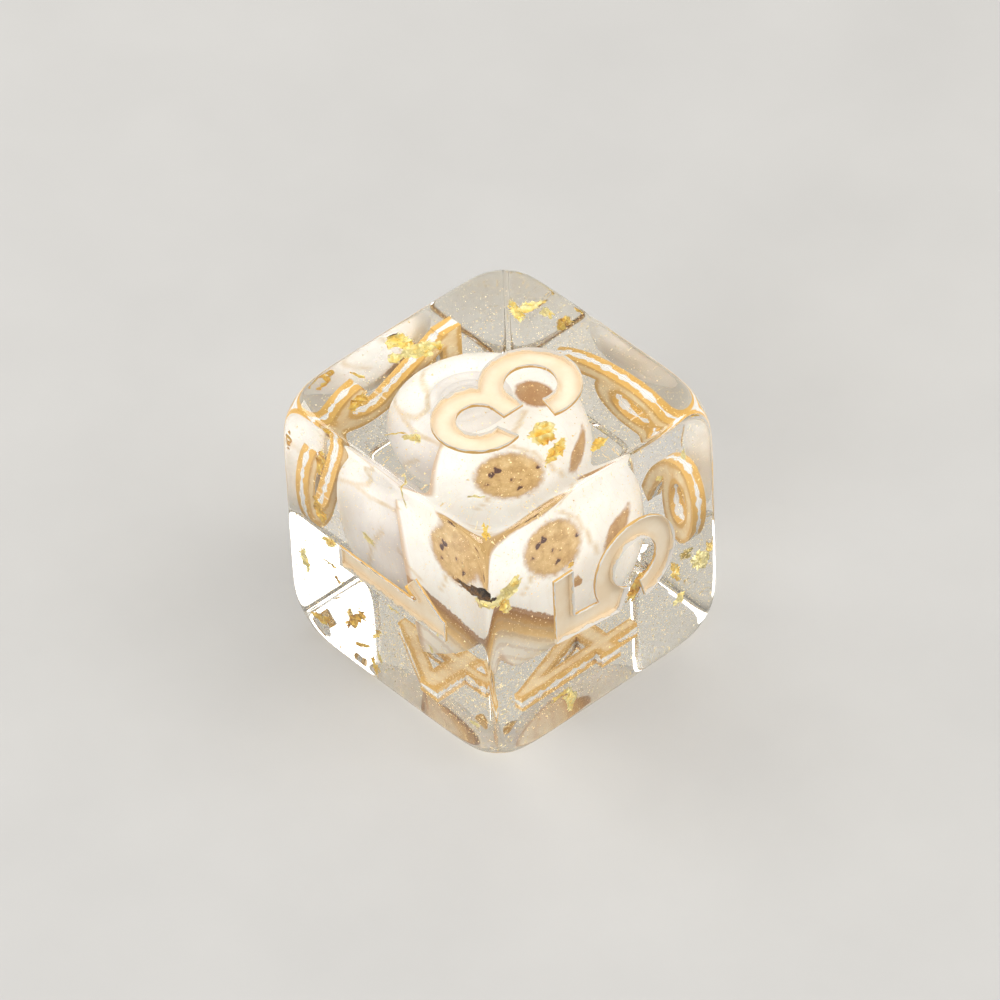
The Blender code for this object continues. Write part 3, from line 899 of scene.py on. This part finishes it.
def torn_leaf(node, look, chance):
    """A packed scrap made finer: a ragged sheet in the same plane, crumpled and folded."""
    points = np.array([tuple(v.co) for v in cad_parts[node].data.vertices])
    middle = points.mean(axis=0)
    axes = np.linalg.svd(points - middle, full_matrices=False)[2]
    along, across, out = (Vector(axis) for axis in axes)
    spread = LEAF_SPREAD * LARGE_LEAVES.get(node, 1.0)
    half_length, half_width = (
        np.abs((points - middle) @ axis).max() * spread for axis in axes[:2]
    )
    seed = chance.uniform(0, 50)
    # the scrap's tone, partly painted reflection of dark and bright surroundings
    tone = LEAF_TONES_AND_PAINTED_REFLECTIONS.get(node) or chance.choice(PLAIN_TONES_AND_PAINTED_REFLECTIONS)
    columns = max(10, round(2 * half_length / LEAF_CELL))
    rows = max(6, round(2 * half_width / LEAF_CELL))
    bm = bmesh.new()
    shade = bm.verts.layers.float.new("shade")
    grid = []
    for i in range(columns + 1):
        for j in range(rows + 1):
            s = 2 * i / columns - 1 + (j % 2) / columns
            t = 2 * j / rows - 1
            flat = along * s * half_length + across * t * half_width
            sheet = flat / MM
            crumple = 1 - 2 * abs(smooth_noise(sheet, 1.6, seed))
            crumple += 0.5 * (1 - 2 * abs(smooth_noise(sheet, 4.1, seed + 9)))
            curl = LEAF_CURL * half_width * t * t * smooth_noise(sheet, 0.9, seed + 3)
            lift = out * (crumple * LEAF_CRUMPLE * half_width + curl)
            drift = Vector(smooth_noise(sheet, 3.0, seed + step) for step in (20, 30, 40))
            drift = drift * LEAF_DRIFT * MM
            vertex = bm.verts.new(Vector(middle) + flat + lift + drift)
            # painted shade and highlight: the scrap's tone, darker in its creases and lighter on its
            # ridges
            vertex[shade] = tone + CRUMPLE_PAINTED_SHADE * crumple
            grid.append((s, t, vertex))

    def kept(*corners):
        s = sum(corner[0] for corner in corners) / 3
        t = sum(corner[1] for corner in corners) / 3
        angle = math.atan2(t, s)
        rim = 0.82 + 0.30 * smooth_noise((math.cos(angle), math.sin(angle), 0), 1.7, seed)
        rim += 0.22 * smooth_noise((s, t, 0), 4.5, seed + 5)
        return math.hypot(s, t) < rim

    for i in range(columns):
        for j in range(rows):
            a, b = grid[i * (rows + 1) + j], grid[i * (rows + 1) + j + 1]
            c, d = grid[(i + 1) * (rows + 1) + j + 1], grid[(i + 1) * (rows + 1) + j]
            for corners in ((a, b, d), (b, c, d)) if j % 2 == 0 else ((a, b, c), (a, c, d)):
                if kept(*corners):
                    bm.faces.new([corner[2] for corner in corners])
    bmesh.ops.delete(bm, geom=[v for v in bm.verts if not v.link_faces], context="VERTS")
    thicken(bm, shade, along.cross(across) * LEAF_THICKNESS)
    limit = HALF_SIDE - LEAF_CLEARANCE
    for vertex in bm.verts:
        for axis in range(3):
            vertex.co[axis] = max(-limit, min(limit, vertex.co[axis]))
    obj = piece_from(bm, node.replace("gold_leaf", "leaf"), [look])
    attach(obj, "root")
    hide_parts(node)


def thicken(bm, shade, offset):
    """Gives an open sheet a second skin, and a wall along every open edge."""
    sheet = bm.faces[:]
    rim = [edge.link_loops[0] for edge in bm.edges if edge.is_boundary]
    twins = {}
    for vertex in bm.verts[:]:
        twins[vertex] = bm.verts.new(vertex.co + offset)
        twins[vertex][shade] = vertex[shade]
    for loop in rim:
        a, b = loop.vert, loop.link_loop_next.vert
        bm.faces.new((b, a, twins[a], twins[b]))
    for face in sheet:
        bm.faces.new([twins[vertex] for vertex in reversed(face.verts)])


def gold_dust(shell, look):
    """Tiny flecks spread through the resin, clear of the shell, as one piece."""
    chance = random.Random(7)
    tree = BVHTree.FromObject(shell, bpy.context.evaluated_depsgraph_get())
    reach = HALF_SIDE - DUST_FROM_FACE
    bm = bmesh.new()
    shades = []
    made = 0
    while made < DUST_COUNT:
        place = Vector(chance.uniform(-reach, reach) for _ in range(3))
        if chance.random() < SETTLED_SHARE:
            place.z = min(reach, -reach + abs(chance.gauss(0, SETTLED_HEIGHT)) * MM)
        nearest, normal, _, distance = tree.find_nearest(place)
        if distance < DUST_FROM_SHELL or (place - nearest).dot(normal) < 0:
            continue
        size = DUST_SIZE * chance.lognormvariate(0, DUST_SPREAD)
        angle = chance.uniform(0, math.tau)
        axis = Vector(chance.gauss(0, 1) for _ in range(3)).normalized()
        turn = Matrix.Rotation(angle, 3, axis)
        corners = [bm.verts.new(place + turn @ Vector(c) * size) for c in FLECK_CORNERS]
        for a, b, c in FLECK_FACES:
            bm.faces.new((corners[a], corners[b], corners[c]))
        shades += [chance.uniform(0.2, 0.7)] * len(FLECK_CORNERS)
        made += 1
    obj = piece_from(bm, "gold_dust", [look])
    layer = obj.data.attributes.new("shade", "FLOAT", "POINT")
    layer.data.foreach_set("value", np.array(shades, np.float32))
    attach(obj, "root")


# ---------------------------------------------------------------- build


def build_die():
    resin = resin_look()
    cream = paint_look("paint_cream_look", (0.96, 0.85, 0.68, 1), (0.90, 0.74, 0.53, 1), 0.0, 0.12)
    amber = paint_look("paint_amber_look", (0.95, 0.80, 0.54, 1), (0.72, 0.43, 0.10, 1), 0.1, 0.30)
    gold = leaf_look()

    body = piece_from(tumbled_cube(), "resin_visual", [resin])
    for digit in NUMERALS:
        recess = numeral_solid(digit, STROKE, -NUMERAL_DEPTH, clear_of_face)
        placing = numeral_placing(digit, recess)
        recess.data.transform(placing)
        boolean(body, recess, "DIFFERENCE")
        apply_modifiers(body)
        discard(recess)
        cup = paint_cup(digit, cream, amber)
        cup.data.transform(placing)
        cup.name = f"numeral_{digit}_visual"
        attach(cup, "root")
        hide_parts(f"numeral_{digit}_paint")
    polish(body)
    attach(body, "root")
    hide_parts("resin_first_pour", "resin_main_pour")

    shell = shell_piece(shell_look())
    chance = random.Random(11)
    for node in sorted(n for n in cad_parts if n.startswith("gold_leaf")):
        torn_leaf(node, gold, chance)
    gold_dust(shell, dust_look())


def area_light(name, place, size, power, colour):
    light = bpy.data.lights.new(name, "AREA")
    light.shape = "DISK"
    light.size = size
    light.energy = power
    light.color = colour
    obj = bpy.data.objects.new(name, light)
    obj.location = place
    obj.rotation_euler = (-Vector(place)).to_track_quat("-Z", "Y").to_euler()
    bpy.context.scene.collection.objects.link(obj)


def build_studio():
    """The pale floor, the soft lights and the glow around them."""
    bm = bmesh.new()
    bmesh.ops.create_grid(bm, x_segments=24, y_segments=24, size=FLOOR_REACH)
    bmesh.ops.translate(bm, vec=(0, 0, -HALF_SIDE - FLOOR_GAP), verts=bm.verts)
    floor = piece_from(bm, "floor", [floor_look()])

    for light in LIGHTS:
        area_light(*light)

    world = bpy.data.worlds.new("studio")
    world.use_nodes = True
    tree = world.node_tree
    place = tree.nodes.new("ShaderNodeTexCoord")
    split = tree.nodes.new("ShaderNodeSeparateXYZ")
    shades = tree.nodes.new("ShaderNodeValToRGB")
    while len(shades.color_ramp.elements) < len(SKY):
        shades.color_ramp.elements.new(0.5)
    for element, (position, colour) in zip(shades.color_ramp.elements, SKY):
        element.position = position
        element.color = colour
    tree.links.new(place.outputs["Generated"], split.inputs[0])
    tree.links.new(split.outputs["Z"], shades.inputs["Fac"])
    tree.links.new(shades.outputs["Color"], tree.nodes["Background"].inputs["Color"])
    tree.nodes["Background"].inputs["Strength"].default_value = SKY_STRENGTH
    bpy.context.scene.world = world


def build_camera():
    camera = bpy.data.objects.new("camera", bpy.data.cameras.new("camera"))
    camera.data.lens = CAMERA_LENS
    camera.data.sensor_width = 36
    camera.data.clip_start = 0.01
    camera.data.clip_end = 10
    level = (-TO_CAMERA).to_track_quat("-Z", "Y").to_matrix().to_4x4()
    roll = Matrix.Rotation(-CAMERA_ROLL, 4, "Z")
    place = Matrix.Translation(CAMERA_AIM + TO_CAMERA * CAMERA_DISTANCE)
    camera.matrix_world = place @ level @ roll
    bpy.context.scene.collection.objects.link(camera)
    bpy.context.scene.camera = camera


build_die()
build_studio()
build_camera()
bpy.context.scene.view_settings.view_transform = "Standard"
